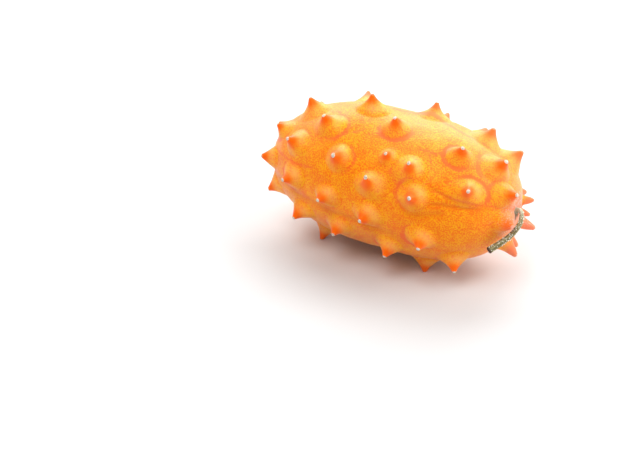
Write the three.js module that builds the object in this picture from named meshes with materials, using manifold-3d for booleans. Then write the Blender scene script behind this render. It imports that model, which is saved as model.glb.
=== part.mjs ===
// Horned melon (Cucumis metuliferus): one whole ripe fruit with its cut stem, lying on its spines.
// Millimetres, +Z up. +X runs along the fruit towards the stem, and the origin is on the
// surface under the middle of the piece. The fruit is one solid, and the stem is another.
import * as THREE from 'three';
import { mergeVertices } from 'three/addons/utils/BufferGeometryUtils.js';
import Module from 'manifold-3d';

// ---- Driving dimensions ----
const bodyRadius = 36;
const halfLength = 69.5; // from the middle of the body to either end, without spines
const blossomFullness = 2.4; // 2 is an ellipse, more is a blunter end
const stemEndFullness = 2.9;
const fruitCentre = new THREE.Vector3(-1.6, 0.8, 39); // the middle of the body, above the surface

const recessDepth = 2; // the dimple that the stem grows from
const recessRadius = 6; // at its rim
const recessFloor = 3; // the radius of its flat floor
const recessSlope = [4.5, 0.9]; // a point on its side: radius, height above the floor

const moundRadius = 7; // a spine's foot, where it leaves the skin
const usualSpine = 8; // the height that the spine profile is drawn for
const rootDepth = 4; // how far a spine's solid goes below the skin
const footSink = 0.7; // how much of a supporting spine's tip is pressed flat
const spineSides = 7;

// The spine's outline, before its upper part is scaled to its height: [radius, height above the skin].
const spineRoot = [[0, -rootDepth], [moundRadius, -0.8], [3.9, 1.2]];
const spineHorn = [[2.2, 3], [1.35, 5.6], [0.95, 7.6], [0, usualSpine]];

const stemRadius = 1.45;
const stemRibs = 5;
const ribDepth = 0.22;
const stemSteps = 22;
const stemGap = 0.3; // between the stem and the floor of the dimple

const bodyRings = 18;
const bodySides = 32;

// Spines by place: [station along X from the middle, turn from the top towards -Y in degrees, height].
const spines = [
  // the upper side and the side at -Y
  [-45, 7, 8], [-54, -52, 8], [-30, -43, 8], [-14, -1, 8], [15, -19, 8], [10, -58, 9],
  [45, -21, 8], [57.4, -33, 8.4], [-59, 32, 5.5], [-44, 51, 8], [-30, 28, 8], [6, 17, 8],
  [-16, 55, 8], [9, 44, 5.5], [23, 46, 8], [42, 22, 8], [58, 8, 8], [4, 62, 8],
  [28, 69, 8], [51, 53, 8], [65.4, 33, 8.8],
  // round the stem
  [67, 92, 7], [55, -100, 8], [63, -100, 6.5], [63, -119, 6], [66, -138, 9], [60, -158, 8.5],
  [63.2, 177, 9.9],
  // the lower side at -Y
  [-63, 80, 7], [-42, 84, 8], [-20, 88, 8], [-60, 128, 7], [-38, 118, 8], [-14, 116, 7],
  [4, 94, 8], [14, 124, 8], [33, 106, 8], [45, 138, 8],
  // the underside and the back
  [-54, 180, 6], [-1, 178, 2.6], [-64, -130, 6], [-8, -132, 7.5], [-44, -120, 8],
  [12, -108, 8], [-24, -96, 8], [44, -126, 8], [33, -90, 8], [-62, -82, 6], [-40, -74, 8],
  [-6, -78, 7], [32, -58, 8], [-67, -15, 5.5], [-66, -175, 5],
];

// The spines that the fruit rests on: [station along X, turn].
const feet = [[-33, 160], [-28, -159], [26, 158], [31, -160]];

// The stem's middle line, from the floor of the dimple: up, over and down to the cut.
const stemRoute = [
  [0, 0, 1], [1.4, 0, 1.4], [3, -0.8, 1.9], [4.5, -2.4, 1.1], [5.4, -4.5, -0.3], [5.6, -6.9, -2.3],
  [4.6, -9.4, -4.8], [3, -12.1, -7.3], [0.2, -15, -9.9], [-2.2, -17.1, -12], [-4.6, -19.6, -13.9],
];

const wasm = await Module();
wasm.setup();

function toSolid(geometry) {
  const bare = geometry.clone();
  bare.deleteAttribute('normal');
  bare.deleteAttribute('uv');
  const welded = mergeVertices(bare, 1e-4);
  return new wasm.Manifold(new wasm.Mesh({
    numProp: 3,
    vertProperties: new Float32Array(welded.attributes.position.array),
    triVerts: new Uint32Array(welded.index.array),
  }));
}

function toGeometry(solid) {
  const mesh = solid.getMesh();
  const geometry = new THREE.BufferGeometry();
  geometry.setAttribute('position', new THREE.BufferAttribute(mesh.vertProperties, 3));
  geometry.setIndex(new THREE.BufferAttribute(mesh.triVerts, 1));
  geometry.computeVertexNormals();
  return geometry;
}

const degrees = THREE.MathUtils.degToRad;

function fullness(station) {
  return station < 0 ? blossomFullness : stemEndFullness;
}

// The skin's radius about the long axis, without the dimple.
function skinRadius(station) {
  const along = Math.abs(station) / halfLength;
  return bodyRadius * Math.sqrt(1 - along ** fullness(station));
}

function skinPoint(station, turn) {
  const radius = skinRadius(station);
  return new THREE.Vector3(station, -radius * Math.sin(turn), radius * Math.cos(turn));
}

function skinNormal(station, turn) {
  const step = 0.01;
  const slope = (skinRadius(station + step) - skinRadius(station - step)) / (2 * step);
  return new THREE.Vector3(-slope, -Math.sin(turn), Math.cos(turn)).normalize();
}

// The station where the stem end's skin has this radius.
function stemEndStation(radius) {
  return halfLength * (1 - (radius / bodyRadius) ** 2) ** (1 / stemEndFullness);
}

// A body of revolution about X, with a flat-floored dimple pressed into its stem end.
function bodySolid() {
  const profile = [new THREE.Vector2(0, -halfLength)];
  for (let ring = 1; ring < bodyRings; ring += 1) {
    const run = -Math.cos((Math.PI * ring) / bodyRings);
    const station = Math.sign(run) * halfLength * Math.abs(run) ** (2 / fullness(run));
    const radius = skinRadius(station);
    const clearOfRecess = station < 0 || radius > recessRadius + 1;
    if (clearOfRecess) profile.push(new THREE.Vector2(radius, station));
  }
  const floor = halfLength - recessDepth;
  const [slopeRadius, slopeHeight] = recessSlope;
  profile.push(new THREE.Vector2(recessRadius, stemEndStation(recessRadius)));
  profile.push(new THREE.Vector2(slopeRadius, floor + slopeHeight));
  profile.push(new THREE.Vector2(recessFloor, floor));
  profile.push(new THREE.Vector2(0, floor));
  const lathe = new THREE.LatheGeometry(profile, bodySides);
  lathe.rotateZ(-Math.PI / 2);
  return toSolid(lathe);
}

// One spine: a low mound that draws up through a hollow curve into a blunt horn.
function spineSolid(station, turn, height) {
  const root = spineRoot.map(([x, y]) => new THREE.Vector2(x, y));
  const horn = spineHorn.map(([x, y]) => new THREE.Vector2(x, (y * height) / usualSpine));
  const lathe = new THREE.LatheGeometry([...root, ...horn], spineSides);
  const up = new THREE.Vector3(0, 1, 0);
  lathe.applyQuaternion(new THREE.Quaternion().setFromUnitVectors(up, skinNormal(station, turn)));
  lathe.translate(...skinPoint(station, turn));
  return toSolid(lathe);
}

// A foot spine is as long as it takes to pass the surface by footSink, before it is cut flat.
function footHeight(station, turn) {
  const drop = fruitCentre.z + footSink + skinPoint(station, turn).z;
  return drop / -skinNormal(station, turn).z;
}

function fruitGeometry() {
  let solid = bodySolid();
  for (const [station, turn, height] of spines) {
    solid = solid.add(spineSolid(station, degrees(turn), height));
  }
  for (const [station, turn] of feet) {
    solid = solid.add(spineSolid(station, degrees(turn), footHeight(station, degrees(turn))));
  }
  const depth = 20;
  const below = new THREE.BoxGeometry(4 * halfLength, 4 * bodyRadius, depth);
  below.translate(0, 0, -fruitCentre.z - depth / 2);
  return toGeometry(solid.subtract(toSolid(below)));
}

// A lightly ribbed round section.
function stemSection(radius) {
  const points = [];
  const corners = stemRibs * 2;
  for (let corner = 0; corner < corners; corner += 1) {
    const angle = (2 * Math.PI * corner) / corners;
    const reach = corner % 2 ? radius - ribDepth : radius;
    points.push(new THREE.Vector2(reach * Math.cos(angle), reach * Math.sin(angle)));
  }
  return new THREE.Shape(points);
}

function stemGeometry() {
  const start = new THREE.Vector3(halfLength - recessDepth + stemGap, 0, 0);
  const path = new THREE.CatmullRomCurve3(
    stemRoute.map((point) => new THREE.Vector3(...point).add(start)),
  );
  return new THREE.ExtrudeGeometry(stemSection(stemRadius), {
    steps: stemSteps,
    extrudePath: path,
    bevelEnabled: false,
  });
}

const skin = new THREE.MeshStandardMaterial({ color: 0xf58a2a, roughness: 0.5, metalness: 0 });
const stalk = new THREE.MeshStandardMaterial({ color: 0x8d8a62, roughness: 0.85, metalness: 0 });

const fruit = new THREE.Mesh(fruitGeometry(), skin);
fruit.name = 'fruit';

const stem = new THREE.Mesh(stemGeometry(), stalk);
stem.name = 'stem';

const hornedMelon = new THREE.Group();
hornedMelon.add(fruit, stem);
hornedMelon.position.copy(fruitCentre);

export default hornedMelon;
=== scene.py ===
# A whole horned melon on a pale floor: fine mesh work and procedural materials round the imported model.
# Lengths are in metres. The fruit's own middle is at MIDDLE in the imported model's frame.
import math

import bpy
import numpy as np
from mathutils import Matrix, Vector, noise
from mathutils.geometry import delaunay_2d_cdt


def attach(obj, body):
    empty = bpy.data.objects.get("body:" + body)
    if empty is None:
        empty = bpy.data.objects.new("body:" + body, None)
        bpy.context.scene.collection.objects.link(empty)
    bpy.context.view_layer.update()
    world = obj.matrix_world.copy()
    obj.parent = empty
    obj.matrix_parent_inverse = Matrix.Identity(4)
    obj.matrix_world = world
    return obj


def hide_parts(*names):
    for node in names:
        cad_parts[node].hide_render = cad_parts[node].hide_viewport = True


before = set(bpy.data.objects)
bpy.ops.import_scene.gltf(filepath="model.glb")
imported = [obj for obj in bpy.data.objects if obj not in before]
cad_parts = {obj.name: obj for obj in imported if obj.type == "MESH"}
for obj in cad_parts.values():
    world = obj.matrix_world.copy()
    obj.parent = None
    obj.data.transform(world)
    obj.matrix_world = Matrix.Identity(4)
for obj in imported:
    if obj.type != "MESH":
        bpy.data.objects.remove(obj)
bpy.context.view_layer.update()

MM = 0.001
rng = np.random.default_rng(7)

# ---- The design's own sizes, as in the CAD part ----
BODY_RADIUS = 36 * MM
HALF_LENGTH = 69.5 * MM
BLOSSOM_FULLNESS = 2.4
STEM_END_FULLNESS = 2.9
MIDDLE = np.array([-1.6, 0.8, 39]) * MM
DIMPLE_DEPTH = 2 * MM
DIMPLE_RADIUS = 6 * MM
USUAL_SPINE = 8 * MM
FOOT_SINK = 0.7 * MM
STEM_RADIUS = 1.45 * MM
STEM_GAP = 0.3 * MM

# Spines: station along X in mm, turn from the top towards -Y in degrees, height in mm.
SPINES = [
    (-45, 7, 8), (-54, -52, 8), (-30, -43, 8), (-14, -1, 8), (15, -19, 8), (10, -58, 9),
    (45, -21, 8), (57.4, -33, 8.4), (-59, 32, 5.5), (-44, 51, 8), (-30, 28, 8), (6, 17, 8),
    (-16, 55, 8), (9, 44, 5.5), (23, 46, 8), (42, 22, 8), (58, 8, 8), (4, 62, 8),
    (28, 69, 8), (51, 53, 8), (65.4, 33, 8.8),
    (67, 92, 7), (55, -100, 8), (63, -100, 6.5), (63, -119, 6), (66, -138, 9), (60, -158, 8.5),
    (63.2, 177, 9.9),
    (-63, 80, 7), (-42, 84, 8), (-20, 88, 8), (-60, 128, 7), (-38, 118, 8), (-14, 116, 7),
    (4, 94, 8), (14, 124, 8), (33, 106, 8), (45, 138, 8),
    (-54, 180, 6), (-1, 178, 2.6), (-64, -130, 6), (-8, -132, 7.5), (-44, -120, 8),
    (12, -108, 8), (-24, -96, 8), (44, -126, 8), (33, -90, 8), (-62, -82, 6), (-40, -74, 8),
    (-6, -78, 7), (32, -58, 8), (-67, -15, 5.5), (-66, -175, 5),
]
# the spines that it rests on: station and turn
FEET = [(-33, 160), (-28, -159), (26, 158), (31, -160)]

# The stem's middle line from the dimple's floor, in mm.
STEM_ROUTE = [
    (0, 0, 1), (1.4, 0, 1.4), (3, -0.8, 1.9), (4.5, -2.4, 1.1), (5.4, -4.5, -0.3), (5.6, -6.9, -2.3),
    (4.6, -9.4, -4.8), (3, -12.1, -7.3), (0.2, -15, -9.9), (-2.2, -17.1, -12), (-4.6, -19.6, -13.9),
]

# What sets some spines apart. As shares of the usual: "girth" of the horn, "flare" of its foot, "mound" and
# "dome", the mound's width and height. "band" is the coral band at the mound's foot: the direction where it
# is strongest, in degrees from the stem's way towards larger turns, and its strength. "cap" is how pale the
# tip is. A leaning spine has its foot moved by "slide" degrees and its tip set over by "lean" mm.
LOOKS = {
    (6, 17): {"band": (70, 1.6)},
    (42, 22): {"band": (125, 1.7), "mound": 0.88},
    (51, 53): {"band": (-60, 1.1), "mound": 1.1},
    (65.4, 33): {"band": (180, 0.8)},
    (58, 8): {"band": (140, 0.7), "girth": 1.2},
    (23, 46): {"band": (120, 0.6), "mound": 1.1, "slide": 3.5, "lean": -2.4},
    (28, 69): {"band": (190, 0.8), "mound": 1.05},
    (4, 62): {"band": (20, 0.3), "mound": 1.1, "slide": 6.5, "lean": -5},
    (-30, 28): {"band": (10, 0.8), "mound": 1.1},
    (-44, 51): {"band": (-60, 0.5)},
    (-16, 55): {"band": (-10, 0.7), "girth": 1.2},
    (-14, -1): {"band": (180, 0.4), "mound": 1.15, "cap": 0.1},
    (15, -19): {"band": (90, 0.1), "mound": 1.1},
    (-45, 7): {"band": (90, 0.1), "mound": 1.1, "cap": 0.1},
    (-30, -43): {"cap": 0.3},
    (10, -58): {"cap": 0.3},
    (9, 44): {"band": (90, 0.1), "mound": 0.75, "dome": 0.6, "girth": 0.95},
    (45, -21): {"band": (90, 0.1), "mound": 1.15, "girth": 1.2, "cap": 0.25},
    (57.4, -33): {"band": (90, 0.1), "mound": 1.15, "girth": 1.15, "cap": 0.15},
    (67, 92): {"band": (150, 0.4), "girth": 1.3, "cap": 0.35},
    (66, -138): {"band": (90, 0.2), "mound": 0.6, "dome": 0.3, "girth": 1.6, "flare": 0.6, "cap": 0.15},
    (63.2, 177): {"band": (90, 0.2), "mound": 0.8, "dome": 0.5, "girth": 1.3, "flare": 0.6, "cap": 0.3},
    (60, -158): {"band": (90, 0.2), "mound": 0.7, "dome": 0.4, "girth": 1.15, "flare": 0.5, "cap": 0.3},
    (63, -100): {"band": (90, 0.2), "mound": 0.5, "dome": 0.2, "girth": 1.2, "flare": 0.4, "cap": 0.3},
    (63, -119): {"band": (90, 0.2), "mound": 0.5, "dome": 0.2, "girth": 1.2, "flare": 0.4, "cap": 0.3},
    (55, -100): {"band": (90, 0.2), "mound": 0.6, "dome": 0.4, "girth": 1.2, "flare": 0.6},
}

# ---- Camera: the photograph's angle, a little above and from the fruit's stem side ----
CAMERA_AZIMUTH = math.radians(31)
CAMERA_ELEVATION = math.radians(30)
CAMERA_DISTANCE = 0.888
LENS = 100
SENSOR = 36
# where the fruit's middle stands in the frame, in frame widths right of and above the centre
FRAME_RIGHT = 0.1329
FRAME_UP = 0.0824


def add_camera():
    a, e = CAMERA_AZIMUTH, CAMERA_ELEVATION
    back = Vector((math.sin(a) * math.cos(e), -math.cos(a) * math.cos(e), math.sin(e)))
    right = Vector((math.cos(a), math.sin(a), 0))
    up = back.cross(right)
    spread = SENSOR / LENS
    to_middle = -back + right * (FRAME_RIGHT * spread) + up * (FRAME_UP * spread)
    data = bpy.data.cameras.new("camera")
    data.lens = LENS
    data.sensor_width = SENSOR
    camera = bpy.data.objects.new("camera", data)
    camera.location = Vector(MIDDLE) - to_middle * CAMERA_DISTANCE
    camera.rotation_euler = (-back).to_track_quat("-Z", "Y").to_euler()
    bpy.context.scene.collection.objects.link(camera)
    bpy.context.scene.camera = camera


# ---- Curves and noise ----
def smooth_steps(x, points):
    """A curve through given points with no overshoot (monotone cubic)."""
    xs, ys = np.array(points, float).T
    slope = np.diff(ys) / np.diff(xs)
    inner = np.where(slope[1:] * slope[:-1] > 0,
                     2 * slope[1:] * slope[:-1] / (slope[1:] + slope[:-1] + 1e-30), 0)
    ends = np.concatenate([[0], inner, [0]])
    x = np.clip(x, xs[0], xs[-1])
    k = np.clip(np.searchsorted(xs, x) - 1, 0, len(xs) - 2)
    width = xs[k + 1] - xs[k]
    t = (x - xs[k]) / width
    return ((2 * t**3 - 3 * t**2 + 1) * ys[k] + (t**3 - 2 * t**2 + t) * width * ends[k]
            + (3 * t**2 - 2 * t**3) * ys[k + 1] + (t**3 - t**2) * width * ends[k + 1])


def bell(x):
    return np.exp(-np.minimum(x * x, 40))


def wobble(points, size, seed):
    """Smooth noise from -1 to 1 with features of the given size."""
    shifted = points / size + seed * 17.3
    return np.array([noise.fractal(p, 1.0, 2.0, 2) for p in shifted])


# ---- The plain skin, a body of revolution about X ----
def skin_radius(station):
    along = np.abs(station) / HALF_LENGTH
    fullness = np.where(station < 0, BLOSSOM_FULLNESS, STEM_END_FULLNESS)
    return BODY_RADIUS * np.sqrt(np.clip(1 - along**fullness, 0, 1))


def outline():
    """The profile from the blossom end to the stem end: arc length, station, radius and stretch.

    The stretch is how far each sample is along a map of the skin that keeps small shapes as they are.
    """
    samples = 6000
    run = -np.cos(np.linspace(0, math.pi, samples))
    fullness = np.where(run < 0, BLOSSOM_FULLNESS, STEM_END_FULLNESS)
    station = np.sign(run) * HALF_LENGTH * np.abs(run) ** (2 / fullness)
    radius = skin_radius(station)
    near = np.clip(1 - (radius / DIMPLE_RADIUS) ** 2, 0, 1)
    station = station - np.where(station > 0, DIMPLE_DEPTH * near**2, 0)
    step = np.hypot(np.diff(station), np.diff(radius))
    arc = np.concatenate([[0], np.cumsum(step)])
    middle_radius = np.maximum((radius[1:] + radius[:-1]) / 2, 1e-6)
    stretch = np.concatenate([[0], np.cumsum(step / middle_radius)])
    stretch -= np.interp(arc[-1] / 2, arc, stretch)
    return arc, station, radius, stretch


ARC, STATION, RADIUS, STRETCH = outline()


def arc_at(station):
    return np.interp(station, STATION, ARC)


def on_skin(arc, turn):
    """Points on the plain skin at an arc length from the blossom end and a turn from the top."""
    station = np.interp(arc, ARC, STATION)
    radius = np.interp(arc, ARC, RADIUS)
    return np.stack([station, -radius * np.sin(turn), radius * np.cos(turn)], axis=-1)


def skin_normal(arc, turn):
    step = 0.15 * MM
    rise = np.interp(arc + step, ARC, RADIUS) - np.interp(arc - step, ARC, RADIUS)
    run = np.interp(arc + step, ARC, STATION) - np.interp(arc - step, ARC, STATION)
    length = np.hypot(rise, run)
    out, along = run / length, -rise / length
    return np.stack([along, -out * np.sin(turn), out * np.cos(turn)], axis=-1)


FAR_DENT = on_skin(arc_at(66 * MM), math.radians(-125))
FAR_DENT_REACH = 9 * MM
FAR_DENT_DEPTH = 2.6 * MM


def far_dent(place):
    """How far the skin falls short of the round body, beside the stem on the far side."""
    gap = np.linalg.norm(place - FAR_DENT, axis=-1) / FAR_DENT_REACH
    return FAR_DENT_DEPTH * np.exp(-gap * gap)


# ---- Spines ----
# A horn on its mound: distance from the axis in mm, height above the mound in mm, for a horn of 6.5 mm.
HORN = [(0, 6.5), (0.5, 6.45), (0.8, 6.15), (1.05, 5.55), (1.4, 4.75), (1.9, 3.7), (2.5, 2.7), (3.2, 1.8),
        (4.1, 1.0), (5.1, 0.4), (6.8, 0)]
HORN_HEIGHT = 6.5 * MM
HORN_TIP = 0.6 * MM  # the radius within which a stouter horn is no stouter
HORN_SHAFT = 1.6 * MM  # the radius from which a horn's foot flares
MOUND_HEIGHT = 3.1 * MM
MOUND_LONG = 8.6 * MM  # half its length along the fruit
MOUND_WIDE = 7.1 * MM
DOME_POWER = 1.15
SPINE_REACH = 14 * MM  # how far from its foot a spine changes the skin
SHEEN_SLOPE = 50  # degrees of turn from the stem's way to a mound's upper slope, which gets a painted highlight
# how strong the painted highlight on a mound's upper slope is
SHEEN_SLOPE_POWER = 0.8


class Spine:
    """Where one spine stands, its own directions and its looks."""

    def __init__(self, station, turn, height, lean):
        look = LOOKS.get((station, turn), {})
        self.turn = math.radians(turn + look.get("slide", 0))
        self.arc = arc_at(station * MM)
        self.foot = on_skin(self.arc, self.turn)
        self.axis = skin_normal(self.arc, self.turn)
        self.across = np.array([0, -math.cos(self.turn), -math.sin(self.turn)])
        self.long = np.cross(self.across, self.axis)
        if self.long[0] < 0:
            self.long = -self.long
        self.height = height + far_dent(self.foot)
        self.lean = lean + np.array([0, look.get("lean", 0) * MM])
        self.size = min(1.0, height / USUAL_SPINE)
        self.twist = rng.uniform(0, 2 * math.pi)
        down = 90 if turn > 0 else -90
        usual_band = (180 - down * rng.uniform(0.3, 0.9), rng.uniform(0.4, 1.1))
        side, self.band_power = look.get("band", usual_band)
        self.band_side = math.radians(side)
        # the side of the mound that gets the painted highlight
        self.sheen_side = math.radians(-SHEEN_SLOPE if turn > 0 else SHEEN_SLOPE)
        self.girth = look.get("girth", 1.0) * rng.uniform(0.95, 1.1)
        self.mound = look.get("mound", rng.uniform(0.9, 1.1))
        self.dome = MOUND_HEIGHT * self.size * look.get("dome", 1.0)
        self.flare = look.get("flare", 1.0)
        self.cap = look.get("cap", rng.uniform(0.92, 1.0))


def make_spines():
    made = []
    for station, turn, height in SPINES:
        lean = rng.normal(0, 0.25, 2) * MM
        made.append(Spine(station, turn, height * MM, lean))
    for station, turn in FEET:
        foot = Spine(station, turn, USUAL_SPINE, np.zeros(2))
        foot.height = (MIDDLE[2] + FOOT_SINK + foot.foot[2]) / -foot.axis[2]
        made.append(foot)
    return made


spines = make_spines()
SPINE_PLACES = np.array([spine.foot for spine in spines])


# ---- Points of the fine mesh, as (arc, turn) pairs ----
# rings of points round a spine's foot: radii in mm, closest where the horn is steepest
RING_RADII = [
    0.25, 0.5, 0.68, 0.8, 0.9, 1.0, 1.12, 1.26, 1.42, 1.6, 1.85, 2.15, 2.5, 2.9, 3.4, 3.95, 4.55, 5.2,
]
BACKGROUND = 0.72 * MM  # between points away from the spines
POLE_RING = 0.6 * MM
POLE_COUNT = 10
POLE_CLEAR = 1.2 * MM  # how far from either end a spine's rings stay


def background_points():
    arcs, turns = [], []
    rings = int(ARC[-1] / (BACKGROUND * 0.87))
    for ring in range(1, rings):
        arc = ARC[-1] * ring / rings
        radius = np.interp(arc, ARC, RADIUS)
        count = max(8, round(2 * math.pi * radius / BACKGROUND))
        shift = (ring % 2) * 0.5 + 0.618 * ring
        arcs.append(np.full(count, arc) + rng.uniform(-0.08, 0.08, count) * BACKGROUND)
        turns.append(2 * math.pi * (np.arange(count) + shift) / count)
    return np.concatenate(arcs), np.concatenate(turns)


def spine_points(spine):
    """A point at the spine's foot and rings round it."""
    arcs, turns = [[spine.arc]], [[spine.turn]]
    here = np.interp(spine.arc, ARC, RADIUS)
    for k, ring in enumerate(RING_RADII):
        ring = ring * MM
        least = 12 if k < 2 else 22
        count = max(least, round(2 * math.pi * ring / (0.28 * MM + 0.1 * ring)))
        angle = 2 * math.pi * (np.arange(count) + 0.5 * (k % 2)) / count
        radius = np.maximum(np.interp(spine.arc + 0.5 * ring * np.cos(angle), ARC, RADIUS), here * 0.3)
        arcs.append(spine.arc + ring * np.cos(angle))
        turns.append(spine.turn + ring * np.sin(angle) / radius)
    return np.concatenate(arcs), np.concatenate(turns)


def gaps_to_spines(arc, turn):
    return np.linalg.norm(on_skin(arc, turn)[:, None] - SPINE_PLACES[None], axis=-1)


def mesh_points():
    """All (arc, turn) pairs: even points, except round each spine, where its own rings take over."""
    arc, turn = background_points()
    keep = gaps_to_spines(arc, turn).min(axis=1) > (RING_RADII[-1] + 0.45) * MM
    arcs, turns = [arc[keep]], [turn[keep]]
    for index, spine in enumerate(spines):
        arc, turn = spine_points(spine)
        gap = gaps_to_spines(arc, turn)
        others = np.delete(gap, index, axis=1).min(axis=1)
        keep = (gap[:, index] < others - 0.3 * MM) & (arc > POLE_CLEAR) & (arc < ARC[-1] - POLE_CLEAR)
        arcs.append(arc[keep])
        turns.append(turn[keep])
    return np.concatenate(arcs), np.concatenate(turns)


def fill_poles(arc, turn):
    """Trims the points near both ends, and adds a point at the blossom end and a ring at each end."""
    keep = (arc > POLE_RING * 1.6) & (arc < ARC[-1] - POLE_RING * 1.6)
    around = 2 * math.pi * np.arange(POLE_COUNT) / POLE_COUNT
    arcs = [arc[keep], [1e-6], np.full(POLE_COUNT, POLE_RING), np.full(POLE_COUNT, ARC[-1] - POLE_RING)]
    turns = [turn[keep], [0.0], around, around]
    return np.concatenate(arcs), np.concatenate(turns)


def triangles(arc, turn):
    """Joins the points by a flat Delaunay mesh in a map of the skin that keeps triangles in shape."""
    away = np.exp(np.interp(arc, ARC, STRETCH))
    flat = np.stack([away * np.cos(turn), away * np.sin(turn)], axis=-1)
    _, _, faces, originals, _, _ = delaunay_2d_cdt([Vector(p) for p in flat], [], [], 0, 1e-12)
    return faces, [o[0] for o in originals]


def fruit_faces(arc, turn):
    """All triangles, the last of them a fan over the stem end, whose vertex comes last."""
    faces, order = triangles(arc, turn)
    place = {old: new for new, old in enumerate(order)}
    outer = [place[len(arc) - POLE_COUNT + k] for k in range(POLE_COUNT)]
    fan = [(outer[k], outer[(k + 1) % POLE_COUNT], len(arc)) for k in range(POLE_COUNT)]
    arc = np.append(arc[order], ARC[-1] - 1e-6)
    turn = np.append(turn[order], 0.0)
    return arc, turn, [tuple(f) for f in faces] + fan


# ---- The fine shape ----
# Creases: (station in mm, turn in degrees) along each, its depth and its width.
FOLDS = [
    ([(33, 57), (40, 61), (49, 64), (58, 63), (66, 58)], 0.5 * MM, 0.9 * MM),
    ([(34, 73), (40, 71), (48, 70), (56, 68), (63, 66)], 0.6 * MM, 1.0 * MM),
    ([(20, 74), (27, 84), (36, 82), (44, 78)], 0.5 * MM, 1.8 * MM),
    ([(-60, -150), (-30, -140), (0, -152), (30, -146), (60, -150)], 0.5 * MM, 2.2 * MM),
    ([(-62, 100), (-40, 101), (-10, 104), (20, 108)], 0.5 * MM, 2.2 * MM),
    ([(-62, -60), (-30, -62), (0, -64), (24, -76)], 0.45 * MM, 2.0 * MM),
]
FULL_CREASE = 0.75 * MM  # the depth at which a crease has its full painted shade, a darker orange
# Coral streaks: the places along each, its width and its strength.
STREAKS = [
    ([(-12, -14), (-3, -12), (5, -15), (12, -11), (21, -12), (32, -9), (44, -8)], 1.1 * MM, 0.85),
    ([(44, -8), (50, -9), (55, -15), (62, -18)], 0.5 * MM, 0.7),
    ([(48, -38), (55, -31), (62, -24)], 0.4 * MM, 0.6),
    ([(50, -16), (57, -12), (64, -8)], 0.35 * MM, 0.55),
    ([(-31, 8), (-27, 14), (-23, 15)], 1.0 * MM, 0.6),
    ([(-16, 31), (-12, 28), (-9, 24)], 0.7 * MM, 0.6),
    ([(9, 27), (11, 33), (12, 39)], 0.4 * MM, 0.5),
    ([(22, 31), (26, 29), (31, 29), (34, 24)], 0.9 * MM, 0.6),
    ([(28, 29), (30, 36), (31, 39)], 0.8 * MM, 0.55),
    ([(50, 20), (52, 27), (55, 32)], 0.9 * MM, 0.7),
    ([(36, 59), (45, 62), (56, 63), (67, 58)], 0.8 * MM, 0.55),
    ([(-56, 14), (-50, 4), (-42, -4), (-34, -6)], 0.6 * MM, 0.5),
    ([(-62, 60), (-52, 68), (-40, 70), (-28, 68)], 0.9 * MM, 0.6),
    ([(-50, 104), (-34, 100), (-18, 103), (0, 110), (20, 107)], 1.0 * MM, 0.4),
    ([(-55, 146), (-40, 138), (-22, 140), (-4, 146), (12, 143), (30, 136)], 0.9 * MM, 0.6),
    ([(-60, -110), (-48, -98), (-34, -104), (-14, -112), (2, -116)], 1.0 * MM, 0.7),
    ([(0, -92), (14, -88), (24, -98), (40, -106), (52, -112)], 0.9 * MM, 0.6),
    ([(-36, -58), (-20, -60), (0, -54), (18, -44), (34, -40), (46, -44)], 1.0 * MM, 0.7),
    ([(-50, -150), (-30, -138), (-14, -158), (10, -150), (30, -140), (50, -148)], 0.9 * MM, 0.6),
]
STREAK_WIDTH = 1.25
STREAK_POWER = 1.2
# patches of painted sheen, where the skin is painted paler as if lit: station in mm, turn in degrees, reach
# in mm, strength
PAINTED_SHEEN_PATCHES = [(52, -28, 26, 0.8), (20, -8, 28, 0.5), (-46, 8, 22, 0.5), (-10, -150, 40, 0.3)]
# painted shade in the recess under the stem, in brown: its middle sideways and up, half width and half
# height in mm, strength
SOCKET_SHADE_PATCHES = [(-1, -1.5, 3.9, 2.6, 1.0), (-5.6, -1.6, 2.4, 2.2, 0.8)]
LOBE_SIZE, LOBE_HEIGHT = 22 * MM, 0.5 * MM
RIPPLE_SIZE, RIPPLE_HEIGHT = 6 * MM, 0.12 * MM
BLOOM_REACH = 13 * MM
SCAR_RADIUS = 2.2 * MM
SCAR_RIM = 0.35 * MM
SCAR_PIT = 0.5 * MM
RIM_LIGHT_DEPTH = 18 * MM  # how far below or behind the middle a horn has its full painted rim light
# how much painted rim light every horn behind the middle gets
RIM_LIGHT_BEHIND = 0.45


def distance_to_route(points, route):
    """Each point's distance to a line drawn on the skin through the route's places, and where along it."""
    knots = np.array(route, float)
    t = np.linspace(0, len(knots) - 1, 24 * (len(knots) - 1) + 1)
    stations = smooth_steps(t, list(enumerate(knots[:, 0]))) * MM
    turns = np.radians(smooth_steps(t, list(enumerate(knots[:, 1]))))
    line = on_skin(arc_at(stations), turns)
    near = np.full(len(points), 1.0)
    along = np.zeros(len(points))
    for k, spot in enumerate(line):
        gap = np.linalg.norm(points - spot, axis=1)
        closer = gap < near
        near[closer] = gap[closer]
        along[closer] = k / (len(line) - 1)
    return near, along


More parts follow.
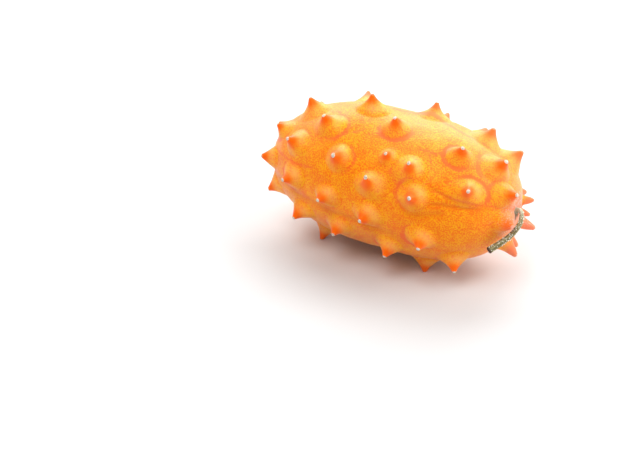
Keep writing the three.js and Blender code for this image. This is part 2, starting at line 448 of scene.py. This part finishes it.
class Skin:
    """The plain skin's points, and what spines, creases and colours do at each of them."""

    def __init__(self, arc, turn):
        count = len(arc)
        self.arc = arc
        self.plain = on_skin(arc, turn)
        self.normal = skin_normal(arc, turn)
        self.fine = wobble(self.plain, 5 * MM, 1)
        self.mound = np.zeros(count)
        self.horn = np.zeros((count, 3))
        self.weight = np.full(count, 1e-12)
        # of these masks, pale is a painted sheen, socket a painted shade, and the one for the horns'
        # pinkish orange a painted rim light; crease also sets a painted shade
        names = ("horn", "cap", "calm", "coral", "crease", "pale", "rim_light", "bloom", "socket", "scar")
        self.masks = {name: np.zeros(count) for name in names}

    def lift(self, name, values, where=slice(None)):
        mask = self.masks[name]
        mask[where] = np.maximum(mask[where], values)

    def add_spine(self, spine):
        offset = self.plain - spine.foot
        close = np.where(np.linalg.norm(offset, axis=1) < SPINE_REACH)[0]
        offset = offset[close]
        along, across = offset @ spine.long, offset @ spine.across
        angle = np.arctan2(across, along)
        self.add_mound(spine, close, along, across, angle)
        self.add_horn(spine, close, np.hypot(along, across), angle)

    def add_mound(self, spine, close, along, across, angle):
        """A low dome, 1 out at its edge, with a coral band round it and a painted highlight on its upper
        slope.
        """
        size = (0.55 + 0.45 * spine.size) * spine.mound
        bend = 1 + 0.07 * np.cos(angle - spine.twist) + 0.05 * np.cos(2 * angle + spine.twist)
        out = np.hypot(along / (MOUND_LONG * size), across / (MOUND_WIDE * size)) * bend
        dome = spine.dome * np.clip(1 - out * out, 0, 1) ** DOME_POWER
        self.mound[close] += dome**3
        self.lift("calm", np.clip(1.15 - out, 0, 1), close)
        fine = self.fine[close]
        sharpness = 6.5 / (1.0 + 0.3 * np.cos(2 * angle + spine.twist) + 0.2 * spine.band_power)
        band = bell((out - 1.08 - 0.07 * fine) * sharpness)
        side = 0.45 + 0.55 * np.cos(angle - spine.band_side) + 0.25 * fine
        self.lift("coral", band * np.clip(side * spine.band_power, 0, 1), close)
        # painted highlight: a pale peach patch on the mound's upper slope
        sheen_side = np.clip(np.cos(angle - spine.sheen_side), 0, 1)
        self.lift("pale", SHEEN_SLOPE_POWER * sheen_side * bell((out - 0.52) / 0.28), close)

    def add_horn(self, spine, close, out, angle):
        """A horn, which counts by the square of its rise where it meets others."""
        out = out * (1 + 0.05 * np.cos(2 * angle + 3 * spine.twist)) / (0.75 + 0.25 * spine.size)
        out /= 1 + (spine.girth - 1) * np.clip((out - HORN_TIP) / HORN_TIP, 0, 1)
        out += np.maximum(out - HORN_SHAFT, 0) * (1 / spine.flare - 1)
        rise = smooth_steps(out / MM, HORN) * MM / HORN_HEIGHT
        tall = spine.height - spine.dome
        lean = spine.long * spine.lean[0] + spine.across * spine.lean[1]
        grown = rise[:, None] * tall * spine.axis + (rise**2)[:, None] * lean
        self.horn[close] += grown * (rise**2)[:, None]
        self.weight[close] += rise**2
        self.lift("horn", rise, close)
        self.lift("cap", np.where(rise > 0.6, spine.cap, 0), close)

    def add_lines(self):
        for route, depth, width in FOLDS:
            gap, along = distance_to_route(self.plain, route)
            ends = np.clip(np.minimum(along, 1 - along) * 6, 0, 1)
            self.lift("crease", depth / FULL_CREASE * bell(gap / width) * ends)
        for route, width, power in STREAKS:
            gap, along = distance_to_route(self.plain, route)
            ends = np.clip(np.minimum(along, 1 - along) * 5 + 0.2, 0, 1)
            line = bell(gap / (STREAK_WIDTH * width * (1 + 0.35 * self.fine)))
            self.lift("coral", STREAK_POWER * power * ends * line)

    def add_patches(self):
        """The painted sheen on some sides, the horns' painted rim light, and the colours of the two ends,
        with painted shade in the recess under the stem.
        """
        # painted sheen: paler patches on the skin, as if lit
        for station, turn, reach, power in PAINTED_SHEEN_PATCHES:
            centre = on_skin(arc_at(station * MM), math.radians(turn))
            self.lift("pale", power * bell(np.linalg.norm(self.plain - centre, axis=1) / (reach * MM)))
        x, y, z = self.plain.T
        # painted rim light: the horns below and behind at the stem end, and all horns behind, turn a pale
        # pinkish orange
        stem_end = np.clip(x / (10 * MM) - 4.8, 0, 1)
        self.lift("rim_light", stem_end * np.clip((0.5 * y - z) / RIM_LIGHT_DEPTH, 0, 1))
        self.lift("rim_light", RIM_LIGHT_BEHIND * np.clip(y / RIM_LIGHT_DEPTH, 0, 1))
        self.lift("bloom", bell((ARC[-1] - self.arc) * (1 + 0.25 * self.fine) / BLOOM_REACH))
        self.lift("scar", bell(self.arc * (1 + 0.2 * self.fine) / SCAR_RADIUS))
        # painted shade: brown patches in the recess below the stem
        ragged = 1 + 0.3 * wobble(self.plain, 2.2 * MM, 4)
        for side, height, half_width, half_height, power in SOCKET_SHADE_PATCHES:
            away = np.hypot((y / MM - side) / half_width, (z / MM - height) / half_height)
            self.lift("socket", power * np.clip(1.6 - away * ragged, 0, 1) * (x > 0))

    def places(self):
        """Where the points come to stand: mounds and horns, lobes, creases, the dent and the scar."""
        lobes = wobble(self.plain, LOBE_SIZE, 2) * LOBE_HEIGHT
        lobes += wobble(self.plain, RIPPLE_SIZE, 3) * RIPPLE_HEIGHT
        rim = SCAR_RIM * bell((self.arc - SCAR_RADIUS) / (0.45 * SCAR_RADIUS))
        pit = SCAR_PIT * bell(self.arc / (0.4 * SCAR_RADIUS))
        sunk = self.masks["crease"] * FULL_CREASE + far_dent(self.plain) + pit
        out = np.cbrt(self.mound) + lobes + rim - sunk
        return self.plain + self.normal * out[:, None] + self.horn / self.weight[:, None]


def add_mesh(name, vertices, faces, masks):
    mesh = bpy.data.meshes.new(name)
    mesh.from_pydata([tuple(v) for v in vertices], [], faces)
    for mask, values in masks.items():
        attribute = mesh.attributes.new(mask, "FLOAT", "POINT")
        attribute.data.foreach_set("value", np.asarray(values, np.float32))
    mesh.polygons.foreach_set("use_smooth", np.ones(len(mesh.polygons), bool))
    mesh.validate()
    mesh.update()
    piece = bpy.data.objects.new(name, mesh)
    bpy.context.scene.collection.objects.link(piece)
    return piece


def add_fruit():
    arc, turn = fill_poles(*mesh_points())
    arc, turn, faces = fruit_faces(arc, turn)
    skin = Skin(arc, turn)
    for spine in spines:
        skin.add_spine(spine)
    skin.add_lines()
    skin.add_patches()
    places = skin.places() + MIDDLE
    places[:, 2] = np.maximum(places[:, 2], 0)
    return add_mesh("fruit_skin", places, faces, skin.masks)


# ---- Materials ----
def colour(red, green, blue):
    """A linear colour from the usual 0 to 255 values."""
    def linear(value):
        share = value / 255
        return share / 12.92 if share <= 0.04045 else ((share + 0.055) / 1.055) ** 2.4
    return (linear(red), linear(green), linear(blue), 1.0)


SKIN_ORANGE = colour(243, 106, 1)
SKIN_YELLOW = colour(251, 173, 8)
SKIN_CORAL = colour(242, 94, 34)
# a painted sheen: pale peach where the lights would shine on the skin
SKIN_PAINTED_SHEEN = colour(250, 176, 112)
# painted shade for the creases
CREASE_SHADE_ORANGE = colour(226, 104, 2)
HORN_RED = colour(249, 102, 1)
# the horns' painted rim light, a pale pinkish orange
HORN_RIM_LIGHT = colour(251, 142, 106)
HORN_CORK = colour(230, 228, 216)
HORN_CORK_DARK = colour(158, 152, 130)
BLOOM_PINK = colour(228, 132, 104)
BLOOM_PALE = colour(240, 206, 190)
# painted shade for the recess under the stem
SOCKET_SHADE_BROWN = colour(104, 72, 38)
SCAR_BROWN = colour(150, 112, 74)
SHINE_TINT = (1.0, 0.45, 0.06, 1.0)

STEM_OLIVE = colour(92, 76, 42)
STEM_GREY = colour(148, 140, 96)
STEM_PALE = colour(206, 214, 186)
# the brown of the stem's end face, also used as painted shade on its foot
STEM_CUT_AND_SHADE_BROWN = colour(66, 40, 30)
BRISTLE_WHITE = colour(236, 236, 222)

FLOOR_GREYS = ((0.62, 0.62, 0.62, 1), (0.64, 0.64, 0.64, 1))


class Nodes:
    """Short calls for building one material's nodes."""

    def __init__(self, name):
        self.material = bpy.data.materials.new(name)
        self.material.use_nodes = True
        self.tree = self.material.node_tree
        self.shader = self.tree.nodes["Principled BSDF"]
        coordinates = self.tree.nodes.new("ShaderNodeTexCoord")
        self.place = coordinates.outputs["Object"]

    def link(self, socket, value):
        if isinstance(value, bpy.types.NodeSocket):
            self.tree.links.new(value, socket)
        else:
            socket.default_value = value

    def settings(self, values):
        for name, value in values.items():
            self.shader.inputs[name].default_value = value

    def math(self, operation, *values, clamp=False):
        node = self.tree.nodes.new("ShaderNodeMath")
        node.operation = operation
        node.use_clamp = clamp
        for socket, value in zip(node.inputs, values):
            self.link(socket, value)
        return node.outputs[0]

    def mask(self, name):
        node = self.tree.nodes.new("ShaderNodeAttribute")
        node.attribute_name = name
        return node.outputs["Fac"]

    def noise(self, size, detail=2.0, roughness=0.5):
        node = self.tree.nodes.new("ShaderNodeTexNoise")
        self.link(node.inputs["Vector"], self.place)
        node.inputs["Scale"].default_value = 1 / size
        node.inputs["Detail"].default_value = detail
        node.inputs["Roughness"].default_value = roughness
        return node.outputs["Fac"]

    def steps(self, value, low, high, out_high=1.0):
        """A smooth rise from 0 at low to out_high at high."""
        node = self.tree.nodes.new("ShaderNodeMapRange")
        node.interpolation_type = "SMOOTHSTEP"
        self.link(node.inputs["Value"], value)
        node.inputs["From Min"].default_value = low
        node.inputs["From Max"].default_value = high
        node.inputs["To Max"].default_value = out_high
        return node.outputs[0]

    def mix(self, share, a, b):
        node = self.tree.nodes.new("ShaderNodeMix")
        node.data_type = "RGBA"
        self.link(node.inputs["Factor"], share)
        for name, value in (("A", a), ("B", b)):
            socket = [i for i in node.inputs if i.name == name and i.type == "RGBA"][0]
            self.link(socket, value)
        return [o for o in node.outputs if o.type == "RGBA"][0]

    def bump(self, height, distance, strength, before=None):
        node = self.tree.nodes.new("ShaderNodeBump")
        node.inputs["Strength"].default_value = strength
        node.inputs["Distance"].default_value = distance
        self.link(node.inputs["Height"], height)
        if before is not None:
            self.link(node.inputs["Normal"], before)
        return node.outputs[0]


def skin_material():
    n = Nodes("skin")
    grain = n.noise(0.7 * MM, 3.0, 0.6)
    grain_from_middle = n.math("SUBTRACT", grain, 0.5)
    horn, bloom = n.mask("horn"), n.mask("bloom")

    # orange skin with yellow speckle, coral lines, creases darkened with painted shade, and a painted sheen
    # on the mounds' upper slopes and some sides
    mounds = n.math("MULTIPLY_ADD", n.mask("calm"), 0.09, -0.10)
    lift = n.math("MULTIPLY_ADD", n.noise(7 * MM), 0.2, mounds)
    base = n.mix(n.steps(n.math("ADD", grain, lift), 0.40, 0.64), SKIN_ORANGE, SKIN_YELLOW)
    coral = n.math("MULTIPLY_ADD", grain_from_middle, -0.9, n.mask("coral"))
    base = n.mix(n.steps(coral, 0.2, 0.8, 0.9), base, SKIN_CORAL)
    # painted shade: the creases darker orange
    base = n.mix(n.math("MULTIPLY", n.mask("crease"), 0.75, clamp=True), base, CREASE_SHADE_ORANGE)
    # painted sheen: pale peach on the mounds' upper slopes and on some sides
    base = n.mix(n.math("MULTIPLY", n.mask("pale"), 0.6), base, SKIN_PAINTED_SHEEN)

    # horns, then the pink bloom, the painted shade of the recess under the stem, and the scar at the ends
    # painted rim light: a pale pinkish orange on the horns below and behind
    horn_colour = n.mix(n.math("MULTIPLY", n.mask("rim_light"), 0.9), HORN_RED, HORN_RIM_LIGHT)
    base = n.mix(n.steps(horn, 0.05, 0.55), base, horn_colour)
    bloom_grain = n.math("MULTIPLY_ADD", grain_from_middle, 0.5, bloom)
    base = n.mix(n.steps(bloom_grain, 0.15, 0.85, 0.85), base, BLOOM_PINK)
    dots = n.steps(n.noise(0.9 * MM, 2.0, 0.7), 0.52, 0.66)
    specks = n.math("MULTIPLY", dots, n.steps(bloom, 0.12, 0.7), clamp=True)
    base = n.mix(n.math("MULTIPLY", specks, 0.85), base, BLOOM_PALE)
    # painted shade: the recess under the stem in brown
    socket = n.math("MULTIPLY_ADD", grain, 0.4, n.mask("socket"))
    base = n.mix(n.steps(socket, 0.45, 1.05), base, SOCKET_SHADE_BROWN)
    base = n.mix(n.steps(n.mask("scar"), 0.3, 0.6), base, SCAR_BROWN)

    # corky caps on the horns
    cork = n.mix(n.steps(n.noise(0.35 * MM), 0.35, 0.6), HORN_CORK_DARK, HORN_CORK)
    cap_edge = n.math("MULTIPLY_ADD", n.noise(1.1 * MM, 1.0), 0.08, horn)
    cap = n.math("MULTIPLY", n.steps(cap_edge, 0.93, 0.965), n.mask("cap"))
    n.link(n.shader.inputs["Base Color"], n.mix(cap, base, cork))

    wax = n.math("MULTIPLY_ADD", n.noise(3 * MM, 3.0), 0.16, 0.36)
    n.link(n.shader.inputs["Roughness"], n.math("MAXIMUM", wax, n.math("MULTIPLY", cap, 0.8)))
    n.settings({
        "Specular IOR Level": 0.45, "Specular Tint": SHINE_TINT,
        "Coat Weight": 0.08, "Coat Roughness": 0.28,
        "Sheen Weight": 0.10, "Sheen Roughness": 0.5,
        "Subsurface Weight": 0.2, "Subsurface Radius": (1.0, 0.35, 0.1), "Subsurface Scale": 2.5 * MM,
    })
    pores = n.bump(n.noise(0.4 * MM, 3.0, 0.6), 0.05 * MM, 0.6)
    n.link(n.shader.inputs["Normal"], n.bump(n.noise(2.2 * MM), 0.12 * MM, 0.6, before=pores))
    return n.material


def stem_material():
    n = Nodes("stem")
    fibre = n.noise(0.5 * MM, 3.0, 0.6)
    ribs = n.math("MULTIPLY_ADD", n.mask("ridge"), 0.35, fibre)
    base = n.mix(n.steps(ribs, 0.35, 0.85), STEM_OLIVE, STEM_GREY)
    base = n.mix(n.mask("young"), base, STEM_PALE)
    # brown for the stem's end face and painted shade on the foot's side away from the light
    brown = n.math("MULTIPLY_ADD", fibre, 0.4, n.mask("cut"))
    base = n.mix(n.steps(brown, 0.45, 0.8), base, STEM_CUT_AND_SHADE_BROWN)
    n.link(n.shader.inputs["Base Color"], n.mix(n.mask("bristle"), base, BRISTLE_WHITE))
    n.link(n.shader.inputs["Normal"], n.bump(fibre, 0.06 * MM, 0.8))
    n.settings({"Roughness": 0.75})
    return n.material


def floor_material():
    n = Nodes("floor")
    n.link(n.shader.inputs["Base Color"], n.mix(n.noise(0.2), *FLOOR_GREYS))
    n.settings({"Roughness": 0.7, "Specular IOR Level": 0.2})
    return n.material


# ---- Stem ----
STEM_STEPS = 150
STEM_SIDES = 60
STEM_ROOT = 1.4 * MM  # how far it goes on into the fruit
STEM_NECK = 0.66  # its width at the fruit and at the cut, as shares of STEM_RADIUS
STEM_TAIL = 1.18
STEM_BASE_FLARE = 0.6
STEM_END_FLARE = 0.10
STEM_TWIST = 9  # radians of turn per metre
STEM_RIBS = 5
BRISTLE_COUNT = 240
BRISTLE_ROWS = 10
BRISTLE_SIDES = 6
# the side of the stem's foot, down and away from the light, that gets painted shade in brown
STEM_SHADED_SIDE = np.array([-0.2, -0.5, -0.84])
# rings of the cut face: share of the rim, depth in mm
CUT_RINGS = [(0.86, 0.05), (0.62, 0.16), (0.36, 0.3), (0.16, 0.5)]
# levels of a bristle: share of its thickness, share of its height
BRISTLE_LEVELS = [(1.0, 0.0), (0.8, 0.45), (0.35, 0.9)]


def smooth_route(points, count):
    """A uniform Catmull-Rom curve through the points, evenly spaced along its length."""
    p = np.array(points, float)
    p = np.vstack([2 * p[0] - p[1], p, 2 * p[-1] - p[-2]])
    t = np.linspace(0, 1, 40, endpoint=False)[:, None]
    fine = []
    for k in range(1, len(p) - 2):
        a, b, c, d = p[k - 1], p[k], p[k + 1], p[k + 2]
        square, cube = 2 * a - 5 * b + 4 * c - d, 3 * b - a - 3 * c + d
        fine.append(0.5 * (2 * b + (c - a) * t + square * t**2 + cube * t**3))
    fine = np.vstack(fine + [p[-2:-1]])
    arc = np.concatenate([[0], np.cumsum(np.linalg.norm(np.diff(fine, axis=0), axis=1))])
    even = np.linspace(0, arc[-1], count)
    return np.stack([np.interp(even, arc, fine[:, k]) for k in range(3)], axis=1), even


def frames_along(path):
    """Directions along and across the path that turn with it as little as they can."""
    ahead = np.gradient(path, axis=0)
    ahead /= np.linalg.norm(ahead, axis=1)[:, None]
    side = np.cross(ahead[0], [0, 0, 1.0])
    sides = []
    for direction in ahead:
        side = side - direction * (side @ direction)
        side = side / np.linalg.norm(side)
        sides.append(side)
    sides = np.array(sides)
    return ahead, sides, np.cross(ahead, sides)


class Stem:
    """The stem's mesh in the making: points, faces and one value of each mask for every point."""

    def __init__(self):
        pole = np.array([HALF_LENGTH - DIMPLE_DEPTH + STEM_GAP, 0, 0]) + MIDDLE
        route = [np.array(p) * MM for p in STEM_ROUTE]
        route = [route[0] - np.array([STEM_ROOT, 0, 0])] + route
        self.path, self.along = smooth_route(np.array(route) + pole, STEM_STEPS)
        self.ahead, self.sides, self.ups = frames_along(self.path)
        self.points, self.faces = [], []
        self.masks = {name: [] for name in ("ridge", "cut", "young", "bristle")}

    def add_points(self, points, **values):
        """Adds points with their masks, which are 0 unless given, and says where they start."""
        start = len(self.points)
        self.points.extend(points)
        for name, mask in self.masks.items():
            mask.extend(np.broadcast_to(values.get(name, 0.0), len(points)))
        return start

    def join(self, one, other, count):
        for j in range(count):
            after = (j + 1) % count
            self.faces.append((one + j, one + after, other + after, other + j))

    def plain_width(self, k):
        return STEM_NECK + (STEM_TAIL - STEM_NECK) * self.along[k] / self.along[-1]

    def add_section(self, k):
        from_base, from_end = self.along[k] - STEM_ROOT, self.along[-1] - self.along[k]
        outside = max(from_base, 0)
        width = self.plain_width(k)
        width += STEM_BASE_FLARE * math.exp(-outside / (1.5 * MM))
        width += STEM_END_FLARE * math.exp(-from_end / (1.2 * MM))
        width *= math.sqrt(1 - 0.55 * max(0, 1 - from_end / (0.7 * MM)) ** 2)
        angle = 2 * math.pi * np.arange(STEM_SIDES) / STEM_SIDES
        turn = angle + STEM_TWIST * self.along[k]
        ribs = 0.5 + 0.5 * np.cos(STEM_RIBS * turn)
        radius = STEM_RADIUS * width * (0.9 + 0.12 * ribs + 0.025 * np.cos(3 * STEM_RIBS * turn + 1.0))
        around = np.outer(np.cos(angle), self.sides[k]) + np.outer(np.sin(angle), self.ups[k])
        surface = self.path[k] + around * STEM_RADIUS
        rough = np.array([noise.noise(Vector(spot) / (1.2 * MM)) for spot in surface])
        # painted shade: brown on the foot's side away from the light
        shaded = 0.45 * np.clip(around @ STEM_SHADED_SIDE, 0, 1) * math.exp(-((outside / (3.2 * MM)) ** 2))
        return self.add_points(
            self.path[k] + around * (radius * (1 + 0.04 * rough))[:, None],
            ridge=ribs,
            cut=np.maximum(math.exp(-from_end / (1.3 * MM)), shaded),
            young=min(1.15 * math.exp(-((outside / (6 * MM)) ** 2)), 1),
        )

    def add_stalk(self):
        """The ribbed tube and its cut face, which dishes in a little towards a ragged pith."""
        starts = [self.add_section(k) for k in range(STEM_STEPS)]
        for one, other in zip(starts, starts[1:]):
            self.join(one, other, STEM_SIDES)
        self.faces.append(tuple(range(STEM_SIDES - 1, -1, -1)))
        last = starts[-1]
        centre, rim = self.path[-1], np.array(self.points[last:])
        for share, depth in CUT_RINGS:
            ragged = rng.uniform(-0.06, 0.06, STEM_SIDES) * MM
            ring = centre + (rim - centre) * share - self.ahead[-1] * (depth * MM + ragged[:, None])
            inner = self.add_points(ring, cut=1.0)
            self.join(last, inner, STEM_SIDES)
            last = inner
        self.faces.append(tuple(last + j for j in range(STEM_SIDES)))

    def add_bristle(self):
        """A small pale cone in one of the rough rows along the stem."""
        k = int(rng.integers(10, STEM_STEPS - 6))
        row = rng.integers(0, BRISTLE_ROWS)
        where = 2 * math.pi * row / BRISTLE_ROWS - STEM_TWIST * self.along[k] + rng.normal(0, 0.12)
        out = math.cos(where) * self.sides[k] + math.sin(where) * self.ups[k]
        thick = rng.uniform(0.18, 0.34) * MM
        rise = (out + 0.25 * self.ahead[k]) * rng.uniform(0.25, 0.5) * MM
        foot = self.path[k] + out * STEM_RADIUS * 0.93 * self.plain_width(k)
        across = np.cross(self.ahead[k], out)
        spin = 2 * math.pi * np.arange(BRISTLE_SIDES)[:, None] / BRISTLE_SIDES
        circle = (self.ahead[k] * np.cos(spin) + across * np.sin(spin)) * thick
        rings = [self.add_points(foot + circle * w + rise * h, bristle=1.0) for w, h in BRISTLE_LEVELS]
        tip = self.add_points([foot + rise], bristle=1.0)
        for one, other in zip(rings, rings[1:]):
            self.join(one, other, BRISTLE_SIDES)
        for j in range(BRISTLE_SIDES):
            self.faces.append((rings[-1] + j, rings[-1] + (j + 1) % BRISTLE_SIDES, tip))
        self.faces.append(tuple(rings[0] + j for j in range(BRISTLE_SIDES - 1, -1, -1)))


def add_stem():
    stalk = Stem()
    stalk.add_stalk()
    for _ in range(BRISTLE_COUNT):
        stalk.add_bristle()
    return add_mesh("stem_stalk", stalk.points, stalk.faces, stalk.masks)


# ---- Stage and light ----
FLOOR_SIZE = 6.0
WORLD_STRENGTH = 0.42
# softboxes: name, direction from the fruit, distance, width, height, watts
SOFTBOXES = [
    ("top_softbox", (-0.35, 0.62, 0.8), 1.2, 1.5, 0.85, 15),
    ("back_softbox", (-0.4, 0.95, 0.5), 1.3, 1.6, 0.8, 8),
    ("front_fill", (-0.1, -0.75, 1.3), 1.4, 0.8, 0.8, 10.5),
    ("side_softbox", (1.0, 0.45, 0.7), 1.2, 0.9, 0.9, 12),
]


def add_floor():
    half = FLOOR_SIZE / 2
    corners = [(-half, -half, 0), (half, -half, 0), (half, half, 0), (-half, half, 0)]
    mesh = bpy.data.meshes.new("floor")
    mesh.from_pydata(corners, [], [(0, 1, 2, 3)])
    floor = bpy.data.objects.new("floor", mesh)
    floor.data.materials.append(floor_material())
    bpy.context.scene.collection.objects.link(floor)


def add_softbox(name, direction, distance, width, height, power):
    data = bpy.data.lights.new(name, "AREA")
    data.shape = "RECTANGLE"
    data.size = width
    data.size_y = height
    data.energy = power
    light = bpy.data.objects.new(name, data)
    way = Vector(direction).normalized()
    light.location = Vector(MIDDLE) + way * distance
    light.rotation_euler = way.to_track_quat("Z", "Y").to_euler()
    bpy.context.scene.collection.objects.link(light)


def add_light():
    for softbox in SOFTBOXES:
        add_softbox(*softbox)
    world = bpy.data.worlds.new("studio")
    world.use_nodes = True
    background = world.node_tree.nodes["Background"]
    background.inputs["Color"].default_value = (1, 1, 1, 1)
    background.inputs["Strength"].default_value = WORLD_STRENGTH
    scene = bpy.context.scene
    scene.world = world
    scene.view_settings.view_transform = "Standard"


add_camera()

fruit = add_fruit()
fruit.data.materials.append(skin_material())
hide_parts("fruit")
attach(fruit, "root")

stem = add_stem()
stem.data.materials.append(stem_material())
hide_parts("stem")
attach(stem, "root")

add_floor()
add_light()
